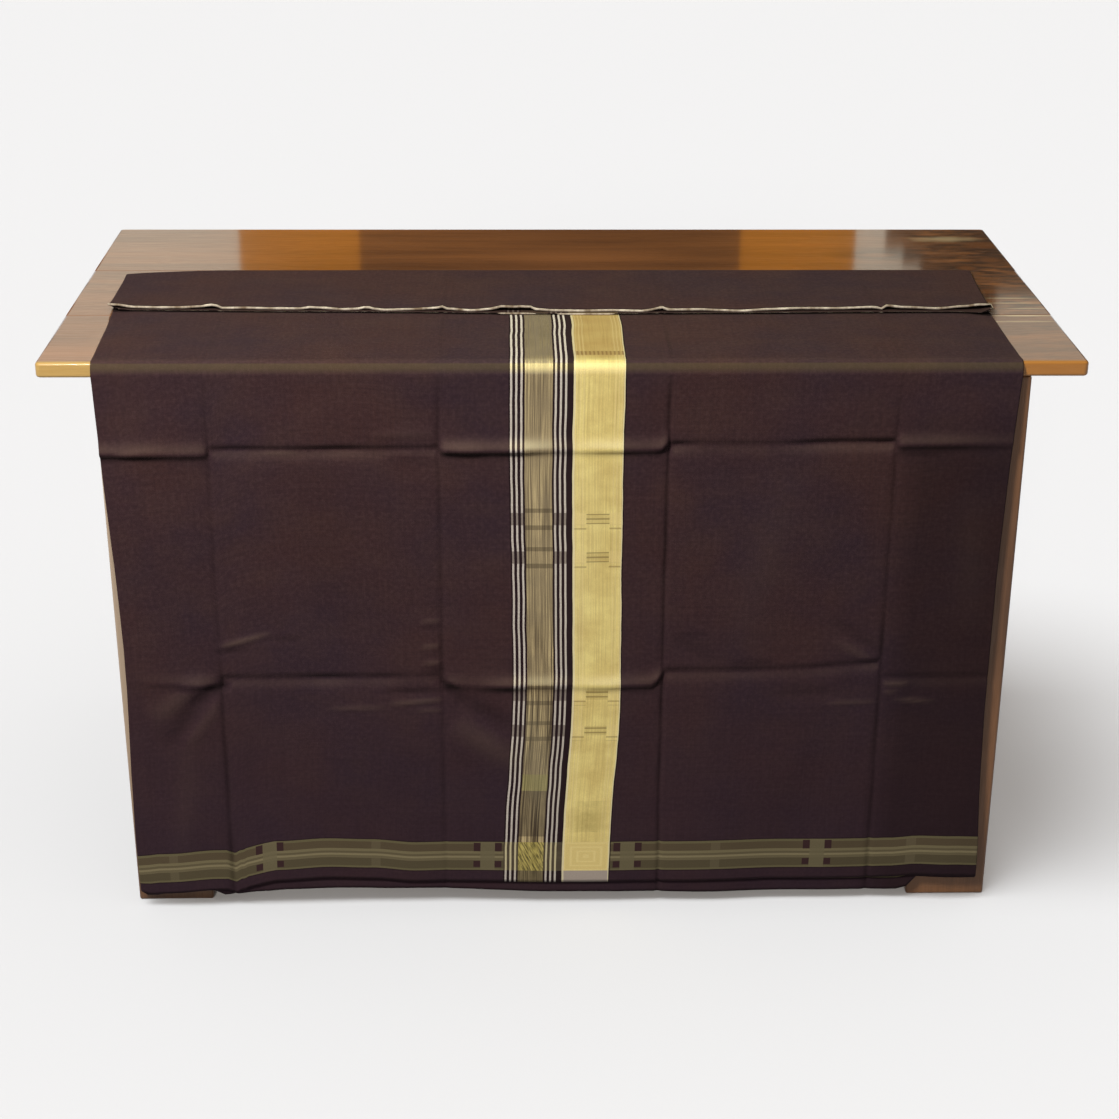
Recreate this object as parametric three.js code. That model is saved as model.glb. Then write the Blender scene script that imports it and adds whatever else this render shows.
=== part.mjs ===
// A woven sarong laid over the front edge of a plain wooden table.
//
// Millimetres, +Z up. The cloth hangs on the -Y side. While it is modelled, the table's front edge is at
// Y = 0 and the floor at Z = 0. At the end everything is moved so that the origin is the middle of the
// underside of its bounding box.
//
// The sarong is one woven length sewn into a tube and pressed flat, so it has two layers. From the hem both
// run up the drop, over the rounded table edge, back along the top, round a fold, and forward again. All of
// that is one path, the drape, and each layer is a thin wall at its own distance from it.

import * as THREE from "three";

// ---- Driving dimensions: the table ----------------------------------------------------------------------

const TABLE = { width: 1220, depth: 610, height: 720 };
const TOP = { thick: 18, edgeRound: 4, jointEase: 0.6 };
const LEG = { wide: 100, deep: 40, ease: 3, endInset: 65, edgeInset: 3 };
const RAIL = { thick: 20, high: 80, ease: 2 };
const GAP = 0.3; // between two pieces that touch

// The three boards of the top, by where each starts and ends behind the front edge.
const BOARDS = [
  { name: "top_board_front", from: 0, to: 190 },
  { name: "top_board_middle", from: 190, to: 393 },
  { name: "top_board_back", from: 393, to: TABLE.depth },
];

// ---- Driving dimensions: the sarong ---------------------------------------------------------------------

const CLOTH = { height: 1240, wall: 1.2 };
const LAYER_GAP = 0.3; // between the two layers, and between cloth and table
const HEM_HEIGHT = 30; // of the hem's middle above the floor
const FOLD_BACK = 371; // how far behind the front edge the fold lies
const FOLD_LOFT = 2; // how much higher the turned-back stretch stands just in front of the fold
const FOLD_LOFT_REACH = 18; // and how soon it comes down

// The cloth's left and right edges at six places along the drape. "along" runs from 0 at the hem, 1 at the
// table edge and 2 at the fold to 3 at the waist edge.
const SIDES = [
  { along: 0, left: -533, right: 530 },
  { along: 0.55, left: -538, right: 532 },
  { along: 1, left: -545, right: 534 },
  { along: 1.5, left: -551, right: 531 },
  { along: 2, left: -559, right: 541 },
  { along: 3, left: -559, right: 541 },
];

// The cloth lies a little askew: "slide" is how far each place of its width has slipped down the drop.
// "lift" is how far the wavy hem is drawn up there, and "swing" how far it swings out of the plane, out
// being away from the table.
const HEM = [
  { share: 0, slide: 11, lift: 0, swing: 3 },
  { share: 0.1, slide: 8, lift: 3, swing: -1 },
  { share: 0.13, slide: 7, lift: 8, swing: 2.5 },
  { share: 0.23, slide: 4, lift: 11, swing: 1 },
  { share: 0.35, slide: 1, lift: 1, swing: 2.5 },
  { share: 0.5, slide: 0, lift: 0, swing: 1 },
  { share: 0.78, slide: -1, lift: -1, swing: 2 },
  { share: 0.87, slide: -2, lift: -2, swing: 0 },
  { share: 0.93, slide: -3, lift: 3, swing: 1.5 },
  { share: 1, slide: -4, lift: 0, swing: 1 },
];
const HEM_WAVE_REACH = 260; // how far up the drop the hem's waves reach

// Pressed creases, from folding the cloth in four each way. A crease across the cloth turns from ridge to
// furrow at each crease up it, as in any cloth that is folded twice.
const CREASES_UP = [0.112, 0.366, 0.618, 0.868]; // shares of the width
const CREASES_ACROSS = [285, 594]; // above the hem
const CREASE_UP = { depth: 1.4, half: 9 };
const CREASE_ACROSS = { depth: 2.2, half: 13 };
const CREASE_ON_TOP = 0.5; // how much of a crease is left where the cloth lies on the table

const SELVEDGE = { thick: 2.6, gap: 0.6, sides: 8, steps: 30 };

// ---- Colours --------------------------------------------------------------------------------------------

const COTTON = new THREE.MeshStandardMaterial({ color: 0x3a2729, roughness: 0.85, metalness: 0 });
const CREAM = new THREE.MeshStandardMaterial({ color: 0xcdc4b4, roughness: 0.8, metalness: 0 });
const WOOD = new THREE.MeshStandardMaterial({ color: 0x8a5a30, roughness: 0.35, metalness: 0 });

// ---- Small helpers --------------------------------------------------------------------------------------

const lerp = THREE.MathUtils.lerp;
const smooth = (t) => THREE.MathUtils.smoothstep(t, 0, 1);

// A column of a table at a key, read softly between its rows.
function read(rows, key, at, column) {
  const next = rows.findIndex((row) => row[key] >= at);
  if (next < 0) return rows[rows.length - 1][column];
  if (next === 0) return rows[0][column];
  const [a, b] = [rows[next - 1], rows[next]];
  return lerp(a[column], b[column], smooth((at - a[key]) / (b[key] - a[key])));
}

function named(name, geometry, material) {
  const mesh = new THREE.Mesh(geometry, material);
  mesh.name = name;
  return mesh;
}

// ---- The table ------------------------------------------------------------------------------------------

// A rectangle whose four corners have their own radii, in the order low-low, high-low, high-high, low-high.
function roundedShape(width, height, radii) {
  const [a, b, c, d] = radii;
  const shape = new THREE.Shape();
  shape.moveTo(a, 0);
  shape.lineTo(width - b, 0);
  shape.absarc(width - b, b, b, -Math.PI / 2, 0);
  shape.lineTo(width, height - c);
  shape.absarc(width - c, height - c, c, 0, Math.PI / 2);
  shape.lineTo(d, height);
  shape.absarc(d, height - d, d, Math.PI / 2, Math.PI);
  shape.lineTo(0, a);
  shape.absarc(a, a, a, Math.PI, 1.5 * Math.PI);
  return shape;
}

// A board of the top: its section across the grain, extruded along X.
function topBoard({ name, from, to }) {
  const atFront = from === 0;
  const atBack = to === TABLE.depth;
  const start = atFront ? from : from + GAP / 2;
  const end = atBack ? to : to - GAP / 2;
  const front = atFront ? TOP.edgeRound : TOP.jointEase;
  const back = atBack ? TOP.edgeRound : TOP.jointEase;
  const section = roundedShape(end - start, TOP.thick, [front, back, back, front]);
  const geometry = new THREE.ExtrudeGeometry(section, {
    depth: TABLE.width,
    bevelEnabled: false,
    curveSegments: 4,
  });
  const [x, y, z] = [new THREE.Vector3(1, 0, 0), new THREE.Vector3(0, 1, 0), new THREE.Vector3(0, 0, 1)];
  geometry.applyMatrix4(new THREE.Matrix4().makeBasis(y, z, x));
  const board = named(name, geometry, WOOD);
  board.position.set(-TABLE.width / 2, start, TABLE.height - TOP.thick);
  return board;
}

// A leg: its eased section extruded upwards. "side" is -1 on the left, and "end" is -1 at the front.
function leg(name, side, end) {
  const section = roundedShape(LEG.wide, LEG.deep, Array(4).fill(LEG.ease));
  const geometry = new THREE.ExtrudeGeometry(section, {
    depth: TABLE.height - TOP.thick - GAP,
    bevelEnabled: false,
    curveSegments: 2,
  });
  geometry.translate(-LEG.wide / 2, -LEG.deep / 2, 0);
  const mesh = named(name, geometry, WOOD);
  const fromMiddle = TABLE.depth / 2 - LEG.edgeInset - LEG.deep / 2;
  mesh.position.x = side * (TABLE.width / 2 - LEG.endInset - LEG.wide / 2);
  mesh.position.y = TABLE.depth / 2 + end * fromMiddle;
  return mesh;
}

// A rail between two legs, upright on its edge under the top.
function rail(name, length, x, y, turned) {
  const section = roundedShape(RAIL.thick, RAIL.high, Array(4).fill(RAIL.ease));
  const geometry = new THREE.ExtrudeGeometry(section, {
    depth: length,
    bevelEnabled: false,
    curveSegments: 2,
  });
  geometry.translate(-RAIL.thick / 2, 0, -length / 2);
  geometry.rotateX(Math.PI / 2); // the section's height is now up, and its length along Y
  if (turned) geometry.rotateZ(Math.PI / 2);
  const mesh = named(name, geometry, WOOD);
  mesh.position.set(x, y, TABLE.height - TOP.thick - GAP - RAIL.high);
  return mesh;
}

function table() {
  const group = new THREE.Group();
  BOARDS.forEach((board) => group.add(topBoard(board)));
  for (const [sideName, side] of [["left", -1], ["right", 1]])
    for (const [endName, end] of [["front", -1], ["back", 1]])
      group.add(leg(`leg_${endName}_${sideName}`, side, end));
  const legMiddleX = TABLE.width / 2 - LEG.endInset - LEG.wide / 2;
  const legMiddleY = LEG.edgeInset + LEG.deep / 2;
  const acrossLength = 2 * (legMiddleX - LEG.wide / 2 - GAP);
  const endLength = TABLE.depth - 2 * (legMiddleY + LEG.deep / 2 + GAP);
  group.add(rail("rail_front", acrossLength, 0, legMiddleY, true));
  group.add(rail("rail_back", acrossLength, 0, TABLE.depth - legMiddleY, true));
  group.add(rail("rail_left", endLength, -legMiddleX, TABLE.depth / 2, false));
  group.add(rail("rail_right", endLength, legMiddleX, TABLE.depth / 2, false));
  return group;
}

// ---- The drape ------------------------------------------------------------------------------------------

const STACK = LAYER_GAP / 2 + CLOTH.wall; // from the drape to a layer's far face
const BEND = TOP.edgeRound + LAYER_GAP + STACK; // the drape's radius round the table edge
const BEND_Y = TOP.edgeRound;
const BEND_Z = TABLE.height - TOP.edgeRound;
const LIE_Z = BEND_Z + BEND; // the drape's height on the table top
const PLY_RISE = 2 * STACK + LAYER_GAP; // from the lower ply's drape to the turned-back ply's
const FOLD = (PLY_RISE + FOLD_LOFT) / 2; // the drape's radius at the fold
const FOLD_Y = FOLD_BACK - FOLD - STACK;
const BEND_LENGTH = (BEND * Math.PI) / 2;
const FOLD_LENGTH = FOLD * Math.PI;
const DROP = BEND_Z - HEM_HEIGHT;
const TOP_RUN = FOLD_Y - BEND_Y;

const slideAt = (share) => read(HEM, "share", share, "slide");
const turnBackAt = (share) =>
  CLOTH.height - DROP - slideAt(share) - BEND_LENGTH - TOP_RUN - FOLD_LENGTH;

// The stations of the drape, one for each ring of points across the cloth. "along" is the key of SIDES.
function stations() {
  const rows = [];
  const creaseRows = CREASES_ACROSS.flatMap((v) => [v - CREASE_ACROSS.half, v, v + CREASE_ACROSS.half]);
  const dropRows = [0, 40, 100, 180, ...creaseRows, 370, 480, 650, DROP].sort((a, b) => a - b);
  for (const up of dropRows) rows.push({ run: "drop", at: up / DROP, along: up / DROP });
  for (const turn of [0.25, 0.5, 0.75, 1]) rows.push({ run: "bend", at: turn, along: 1 });
  for (const back of [0.12, 0.3, 0.5, 0.7, 0.88, 1]) rows.push({ run: "top", at: back, along: 1 + back });
  for (const turn of [0.2, 0.4, 0.6, 0.8, 1]) rows.push({ run: "fold", at: turn, along: 2 });
  for (const front of [0.06, 0.12, 0.25, 0.5, 0.75, 1])
    rows.push({ run: "flap", at: front, along: 2 + front });
  return rows;
}

// The shares of the width at which the cloth has a point: its edges, three at each crease, and fillers.
function columns() {
  const half = CREASE_UP.half / (SIDES[1].right - SIDES[1].left);
  const shares = CREASES_UP.flatMap((share) => [share - half, share, share + half]);
  return [0, 0.05, ...shares, 0.2, 0.28, 0.45, 0.53, 0.7, 0.79, 0.95, 1].sort((a, b) => a - b);
}

const tent = (distance, half) => Math.max(0, 1 - Math.abs(distance) / half);

// How far the creases stand out of the drape's plane at a share of the width and a height above the hem.
function creaseRelief(share, up, width) {
  const column = CREASES_UP.filter((c) => share > c + 1e-6).length;
  const onCrease = CREASES_UP.some((c) => Math.abs(share - c) < 1e-6);
  const ridge = onCrease ? 0 : column % 2 ? -1 : 1;
  const across = CREASES_ACROSS.map((v) => tent(up - v, CREASE_ACROSS.half));
  const upward = CREASES_UP.map((c) => tent((share - c) * width, CREASE_UP.half));
  return ridge * CREASE_ACROSS.depth * Math.max(...across) - CREASE_UP.depth * Math.max(...upward);
}

// The point of the drape at a station and a share of the width, moved "offset" towards the front layer.
function drapePoint(station, share, offset) {
  const left = read(SIDES, "along", station.along, "left");
  const right = read(SIDES, "along", station.along, "right");
  const x = lerp(left, right, share);
  const width = right - left;
  const upwardCrease = Math.max(...CREASES_UP.map((c) => tent((share - c) * width, CREASE_UP.half)));
  const onTop = CREASE_ON_TOP * CREASE_UP.depth * upwardCrease;
  if (station.run === "drop") {
    const up = station.at * DROP;
    const wave = 1 - smooth(up / HEM_WAVE_REACH);
    const hem = HEM_HEIGHT - slideAt(share);
    const z = hem + station.at * (BEND_Z - hem) + wave * read(HEM, "share", share, "lift");
    const hang = 1 - station.at; // the relief fades out at the table edge
    const out =
      Math.min(1, 8 * hang) * (CREASE_ACROSS.depth + creaseRelief(share, up, width)) +
      wave * (3 + read(HEM, "share", share, "swing"));
    return new THREE.Vector3(x, BEND_Y - BEND - offset - out, z);
  }
  if (station.run === "bend") {
    const turn = (station.at * Math.PI) / 2;
    const r = BEND + offset;
    return new THREE.Vector3(x, BEND_Y - r * Math.cos(turn), BEND_Z + r * Math.sin(turn));
  }
  const settle = (distance) => FOLD_LOFT * Math.exp(-((distance / FOLD_LOFT_REACH) ** 2));
  if (station.run === "top") {
    const z = LIE_Z + offset + onTop * smooth(station.at * 8);
    return new THREE.Vector3(x, BEND_Y + station.at * TOP_RUN, z);
  }
  if (station.run === "fold") {
    const turn = station.at * Math.PI;
    const r = FOLD - offset;
    return new THREE.Vector3(x, FOLD_Y + r * Math.sin(turn), LIE_Z + FOLD - r * Math.cos(turn) + onTop);
  }
  const forward = station.at * turnBackAt(share);
  const z = LIE_Z + PLY_RISE + settle(forward) - offset + onTop;
  return new THREE.Vector3(x, FOLD_Y - forward, z);
}

// One layer of the sarong: a closed wall whose two faces are at the given distances from the drape.
function layerGeometry(inner, outer) {
  const rows = stations();
  const shares = columns();
  const across = shares.length;
  const positions = [];
  for (const offset of [inner, outer])
    for (const row of rows)
      for (const share of shares) positions.push(...drapePoint(row, share, offset).toArray());
  const at = (face, row, column) => (face * rows.length + row) * across + column;
  const faces = [];
  const quad = (a, b, c, d) => faces.push(a, b, c, a, c, d);
  for (let row = 0; row + 1 < rows.length; row++)
    for (let column = 0; column + 1 < across; column++) {
      quad(at(1, row, column), at(1, row, column + 1), at(1, row + 1, column + 1), at(1, row + 1, column));
      quad(at(0, row, column), at(0, row + 1, column), at(0, row + 1, column + 1), at(0, row, column + 1));
    }
  const top = rows.length - 1;
  const side = across - 1;
  for (let column = 0; column < side; column++) {
    quad(at(0, 0, column), at(0, 0, column + 1), at(1, 0, column + 1), at(1, 0, column));
    quad(at(1, top, column), at(1, top, column + 1), at(0, top, column + 1), at(0, top, column));
  }
  for (let row = 0; row < top; row++) {
    quad(at(0, row, 0), at(1, row, 0), at(1, row + 1, 0), at(0, row + 1, 0));
    quad(at(1, row, side), at(0, row, side), at(0, row + 1, side), at(1, row + 1, side));
  }
  const geometry = new THREE.BufferGeometry();
  geometry.setAttribute("position", new THREE.Float32BufferAttribute(positions, 3));
  geometry.setIndex(faces);
  geometry.computeVertexNormals();
  return geometry;
}

// The rolled cream edge: a round bead that runs along the front of the turned-back stretch.
function selvedgeGeometry() {
  const middle = -(LAYER_GAP / 2 + CLOTH.wall / 2);
  const edge = { run: "flap", at: 1, along: 3 };
  const route = Array.from({ length: SELVEDGE.steps + 1 }, (_, step) =>
    drapePoint(edge, step / SELVEDGE.steps, middle).add(
      new THREE.Vector3(0, -SELVEDGE.gap - SELVEDGE.thick / 2, 0),
    ),
  );
  const bead = new THREE.Shape();
  bead.absarc(0, 0, SELVEDGE.thick / 2, 0, 2 * Math.PI);
  return new THREE.ExtrudeGeometry(bead, {
    extrudePath: new THREE.CatmullRomCurve3(route),
    steps: SELVEDGE.steps,
    curveSegments: SELVEDGE.sides,
    bevelEnabled: false,
  });
}

function sarong() {
  const group = new THREE.Group();
  group.add(named("front_layer", layerGeometry(LAYER_GAP / 2, STACK), COTTON));
  group.add(named("back_layer", layerGeometry(-STACK, -LAYER_GAP / 2), COTTON));
  group.add(named("waist_selvedge", selvedgeGeometry(), CREAM));
  return group;
}

// ---- The whole part -------------------------------------------------------------------------------------

const drapedTable = new THREE.Group();
drapedTable.add(table(), sarong());
const bounds = new THREE.Box3().setFromObject(drapedTable);
const middle = bounds.getCenter(new THREE.Vector3());
drapedTable.position.set(-middle.x, -middle.y, -bounds.min.z);

const group = new THREE.Group();
group.add(drapedTable);

export default group;
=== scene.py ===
# %% [markdown]
# # A woven sarong on a plank table
# The object is a handloom sarong: one long cloth sewn into a tube, pressed flat so that it has two layers,
# and laid over the front edge of a small wooden table. The cloth is the main thing here, so it gets most of
# the geometry. It could be simulated, but a pressed cloth lies in a few exact places (hem, creases, folds)
# that a simulation would lose, so it is shaped from a grid instead.

# %% The frame and a few helpers
import math
from collections import namedtuple

import bmesh
import bpy
from mathutils import Matrix, Vector, noise


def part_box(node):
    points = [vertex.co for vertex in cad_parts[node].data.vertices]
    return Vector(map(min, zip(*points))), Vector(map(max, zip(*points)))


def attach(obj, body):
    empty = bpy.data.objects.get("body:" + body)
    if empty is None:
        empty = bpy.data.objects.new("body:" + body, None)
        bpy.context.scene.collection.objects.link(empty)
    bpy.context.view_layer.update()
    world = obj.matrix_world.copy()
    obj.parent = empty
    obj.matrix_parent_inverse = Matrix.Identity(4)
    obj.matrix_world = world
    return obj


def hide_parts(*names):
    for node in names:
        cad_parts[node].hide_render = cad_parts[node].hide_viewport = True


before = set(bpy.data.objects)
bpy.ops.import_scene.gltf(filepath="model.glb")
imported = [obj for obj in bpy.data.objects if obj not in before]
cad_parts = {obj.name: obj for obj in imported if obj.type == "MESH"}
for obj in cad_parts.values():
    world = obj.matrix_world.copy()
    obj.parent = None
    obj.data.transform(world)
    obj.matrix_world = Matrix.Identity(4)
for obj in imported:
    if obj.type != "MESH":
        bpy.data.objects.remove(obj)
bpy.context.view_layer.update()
EDGE_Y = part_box("top_board_front")[0].y  # the table's front edge
TOP_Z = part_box("top_board_front")[1].z  # the table's surface
print("table edge at", round(EDGE_Y, 4), "and top at", round(TOP_Z, 4))


def smooth(t):
    t = min(1.0, max(0.0, t))
    return t * t * (3 - 2 * t)


def chart(rows, at, soft=True):
    """Reads a chart of (place, value) rows, softly or straight between them."""
    if at <= rows[0][0]:
        return rows[0][1]
    for (a, low), (b, high) in zip(rows, rows[1:]):
        if at <= b:
            passed = (at - a) / (b - a)
            return low + (high - low) * (smooth(passed) if soft else passed)
    return rows[-1][1]


def colour(red, green, blue):
    """A colour given as screen values from 0 to 255, as the linear one that shaders want."""
    return tuple(
        c / 12.92 if c <= 0.04045 else ((c + 0.055) / 1.055) ** 2.4
        for c in (red / 255, green / 255, blue / 255)
    ) + (1.0,)


def add_object(name, data):
    thing = bpy.data.objects.new(name, data)
    bpy.context.scene.collection.objects.link(thing)
    return thing


def add_mesh(name, shape):
    """Turns a finished bmesh shape into a mesh."""
    mesh = bpy.data.meshes.new(name)
    shape.to_mesh(mesh)
    shape.free()
    return mesh


# %% [markdown]
# ## Camera
# The camera stands in front of the table at about eye height and looks down at the cloth. Its place and
# lens come from the table's own known corners, and it is made first.

# %% Camera
CAMERA_X, CAMERA_BEFORE_EDGE, CAMERA_Z = -0.0662, 2.3804, 1.4921
CAMERA_PITCH, CAMERA_YAW, CAMERA_ROLL = 23.175, 1.476, 0.371
camera_data = bpy.data.cameras.new("camera")
camera_data.lens = 69.48
camera_data.sensor_width = 36
camera = add_object("camera", camera_data)
camera.matrix_world = (
    Matrix.Translation((CAMERA_X, EDGE_Y - CAMERA_BEFORE_EDGE, CAMERA_Z))
    @ Matrix.Rotation(math.radians(-CAMERA_YAW), 4, "Z")
    @ Matrix.Rotation(math.radians(90 - CAMERA_PITCH), 4, "X")
    @ Matrix.Rotation(math.radians(CAMERA_ROLL), 4, "Z")
)
bpy.context.scene.camera = camera
bpy.context.scene.view_settings.view_transform = "Standard"
print("camera at", [round(c, 3) for c in camera.location])

# %% [markdown]
# ## Studio
# A pale seamless floor with three suns that light only the floor: a large soft one from the front left that
# throws the table's shadow, a low one from the front, and a weak one from above. The table and the cloth
# have lamps of their own, so the floor can be bright while the dark cotton stays dark. The varnish mirrors
# what stands behind the table, so soft boxes there draw the pale and amber panels that a varnished top
# shows, and the sky is dark between them.

# %% Shader nodes
def open_tree(node_tree):
    """The shader helpers below add their nodes to the tree that was opened last."""
    global tree
    tree = node_tree


def feed(value, socket):
    """Joins an output to a socket, or sets the socket to a plain value."""
    if isinstance(value, bpy.types.NodeSocket):
        tree.links.new(value, socket)
    elif value is not None:
        socket.default_value = value


def put(kind, *feeds, out=0, **settings):
    """Adds a shader node, feeds its first inputs in order and returns one of its outputs."""
    node = tree.nodes.new("ShaderNode" + kind)
    for name, value in settings.items():
        setattr(node, name, value)
    for socket, value in zip(node.inputs, feeds):
        feed(value, socket)
    return node.outputs[out]


def calc(operation, *feeds, clamp=False):
    return put("Math", *feeds, operation=operation, use_clamp=clamp)


def times(first, *others, clamp=False):
    for other in others:
        first = calc("MULTIPLY", first, other, clamp=clamp)
    return first


def plus(first, *others, clamp=False):
    for other in others:
        first = calc("ADD", first, other, clamp=clamp)
    return first


def less(first, second, clamp=False):
    return calc("SUBTRACT", first, second, clamp=clamp)


def sine(value, pace):
    return calc("SINE", times(value, pace))


def away_from(value, middle):
    return calc("ABSOLUTE", less(value, middle))


# %% Colours and masks
def blend(share, under, over):
    """One colour over another, by a share from 0 to 1. Each is a socket or three screen values."""
    node = tree.nodes.new("ShaderNodeMix")
    node.data_type = "RGBA"
    feed(share, node.inputs[0])
    for socket, value in ((node.inputs[6], under), (node.inputs[7], over)):
        feed(colour(*value) if isinstance(value, tuple) else value, socket)
    return node.outputs[2]


def layered(base, *layers):
    """Lays colours over a base one after another. Each layer is its share and its colour."""
    for share, over in layers:
        base = blend(share, base, over)
    return base


def any_of(*shares):
    """1 where any of the shares is 1."""
    return plus(*shares, clamp=True)


def within(value, low, high):
    """1 where a value lies between two limits, 0 elsewhere."""
    return calc("COMPARE", value, (low + high) / 2, (high - low) / 2)


def spread(value, from_low, from_high, to_low=0.0, to_high=1.0):
    return put("MapRange", value, from_low, from_high, to_low, to_high)


def stretched(place, stretch):
    return put("VectorMath", place, stretch, operation="MULTIPLY")


def cloud(place, stretch, detail, roughness):
    """Noise that changes faster along some axes than along others."""
    return put("TexNoise", stretched(place, stretch), None, 1.0, detail, roughness)


# %% Groups and materials
def axes(vector):
    node = tree.nodes.new("ShaderNodeSeparateXYZ")
    feed(vector, node.inputs[0])
    return list(node.outputs)


def use(inner, **values):
    """Places a shader group in a tree, feeds it and returns its outputs."""
    node = tree.nodes.new("ShaderNodeGroup")
    node.node_tree = inner
    for name, value in values.items():
        feed(value, node.inputs[name])
    return node.outputs


def surface(name):
    """A new material with its tree open, and the sockets of its surface shader."""
    paint = bpy.data.materials.new(name)
    paint.use_nodes = True
    open_tree(paint.node_tree)
    return paint, tree.nodes["Principled BSDF"].inputs


def settle(shader, **values):
    """Sets plain values on the sockets of a surface, with _ for a space in a socket's name."""
    for name, value in values.items():
        shader[name.replace("_", " ")].default_value = value


def roughen(shader, height, strength, distance):
    """Gives a surface a fine relief that is too small to model."""
    bump = tree.nodes.new("ShaderNodeBump")
    bump.inputs["Strength"].default_value = strength
    bump.inputs["Distance"].default_value = distance
    feed(height, bump.inputs["Height"])
    feed(bump.outputs[0], shader["Normal"])


# %% Floor
FLOOR_SIZE = 120
FLOOR_GREY = 0.40
shape = bmesh.new()
bmesh.ops.create_grid(shape, x_segments=1, y_segments=1, size=FLOOR_SIZE / 2)
floor = add_object("studio_floor", add_mesh("studio_floor", shape))
floor_paint, shader = surface("studio_floor")
settle(shader, Base_Color=(FLOOR_GREY, FLOOR_GREY, FLOOR_GREY, 1), Roughness=0.95, Specular_IOR_Level=0.1)
floor.data.materials.append(floor_paint)
floor.visible_diffuse = False  # so it doesn't light the cloth from below
floor_only = bpy.data.collections.new("floor_only")  # the two collections say which pieces a lamp lights
floor_only.objects.link(floor)
table_and_cloth = bpy.data.collections.new("table_and_cloth")  # gets its pieces at the end
print("floor:", FLOOR_SIZE, "m wide")


# %% Lamps
def add_lamp(name, kind, energy, tint, lights):
    """A lamp that lights only one collection of pieces."""
    data = bpy.data.lights.new(name, kind)
    data.energy = energy
    data.color = tint
    lamp = add_object(name, data)
    lamp.light_linking.receiver_collection = lights
    return lamp


def facing(way):
    return Vector(way).to_track_quat("Z", "Y").to_matrix().to_4x4()


def add_panel(name, stands_at, way, size, energy, tint):
    """A rectangular lamp for the table and the cloth, which the camera doesn't see."""
    lamp = add_lamp(name, "AREA", energy, tint, table_and_cloth)
    lamp.data.shape = "RECTANGLE"
    lamp.data.size, lamp.data.size_y = size
    lamp.matrix_world = Matrix.Translation(stands_at) @ way
    lamp.visible_camera = False


SUNS = [  # name, where it comes from, energy, tint, softness in degrees
    ("floor_sun", (-0.29, -0.19, 0.87), 4.1, (0.96, 0.99, 1.02), 32),
    ("floor_front", (-0.12, -1.0, 0.36), 3.6, (1.04, 0.97, 0.9), 18),
    ("floor_fill", (0.0, 0.0, 1.0), 1.4, (1.03, 0.97, 0.92), 90),
]
for name, comes_from, energy, tint, soft in SUNS:
    sun = add_lamp(name, "SUN", energy, tint, floor_only)
    sun.data.angle = math.radians(soft)
    sun.matrix_world = facing(comes_from)
sun.light_linking.blocker_collection = floor_only  # the fill throws no shadow of the table

SOFT_LAMPS = [  # name, where it stands, what it aims at, width, energy, tint
    ("key", (-1.2, -1.85, 2.6), (-0.05, -0.28, 0.5), 0.55, 94, (1.0, 0.965, 0.94)),
    ("top_light", (0.1, 0.2, 3.0), (0.0, 0.0, 0.72), 0.8, 12, (0.85, 1.0, 0.42)),
]
for name, stands_at, aims_at, width, energy, tint in SOFT_LAMPS:
    add_panel(name, stands_at, facing(Vector(stands_at) - Vector(aims_at)), (width, width), energy, tint)

BOXES_Y = 3.0
BOX_TURN = Matrix.Rotation(math.radians(-90), 4, "X")
BOX_TINTS = {"pale": (1.0, 0.93, 0.76), "amber": (1.0, 0.34, 0.0)}
SOFT_BOXES = [  # name, left, right, low, high, radiance, tint
    ("soft_box_left", -1.90, -0.785, 1.10, 1.90, 0.98, "pale"),
    ("soft_box_amber_left", -0.785, -0.463, 1.10, 2.0, 0.62, "amber"),
    ("soft_box_amber_right", 0.563, 0.874, 1.10, 2.0, 0.62, "amber"),
    ("soft_box_right", 0.874, 0.955, 1.10, 2.0, 0.95, "pale"),
    ("soft_box_right_step", 0.955, 1.005, 1.475, 2.0, 0.95, "pale"),
    ("soft_box_right_end", 1.005, 1.055, 1.52, 2.0, 0.95, "pale"),
    ("soft_box_far_right", 1.27, 1.90, 1.60, 2.0, 0.85, "pale"),
]
for name, left, right, low, high, radiance, tint in SOFT_BOXES:
    middle = ((left + right) / 2, BOXES_Y, (low + high) / 2)
    energy = radiance * math.pi * (right - left) * (high - low)
    add_panel(name, middle, BOX_TURN, (right - left, high - low), energy, BOX_TINTS[tint])
print("lamps:", len(SUNS) + len(SOFT_LAMPS) + len(SOFT_BOXES))

# %% Sky
SKY_BRIGHT_SIDE = Vector((-0.30, -0.60, 0.74)).normalized()
SKY_DARK_SPOT = Vector((0.0, 0.956, 0.292)).normalized()
sky = bpy.data.worlds.new("studio_sky")
bpy.context.scene.world = sky
sky.use_nodes = True
open_tree(sky.node_tree)
sky_way = put("TexCoord")
to_bright = put("VectorMath", sky_way, SKY_BRIGHT_SIDE, operation="DOT_PRODUCT", out=1)
to_dark = put("VectorMath", sky_way, SKY_DARK_SPOT, operation="DOT_PRODUCT", out=1)
glow = spread(to_bright, -0.55, 0.9, 0.06, 0.34)
veil = spread(to_dark, 0.86, 0.93, 1.0, 0.06)
feed(times(glow, veil), tree.nodes["Background"].inputs["Strength"])
tree.nodes["Background"].inputs["Color"].default_value = (0.98, 0.96, 1.0, 1)
print("sky:", len(tree.nodes), "nodes")

# %% [markdown]
# ## Wood
# The table is made of plain planks under a clear varnish. Wood grain can be painted on or made from noise
# that is stretched along the board. Noise is used, because every board can then show another part of it.
# Each piece carries its own grain place as an attribute, so the grain runs along it whichever way it lies.


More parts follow.
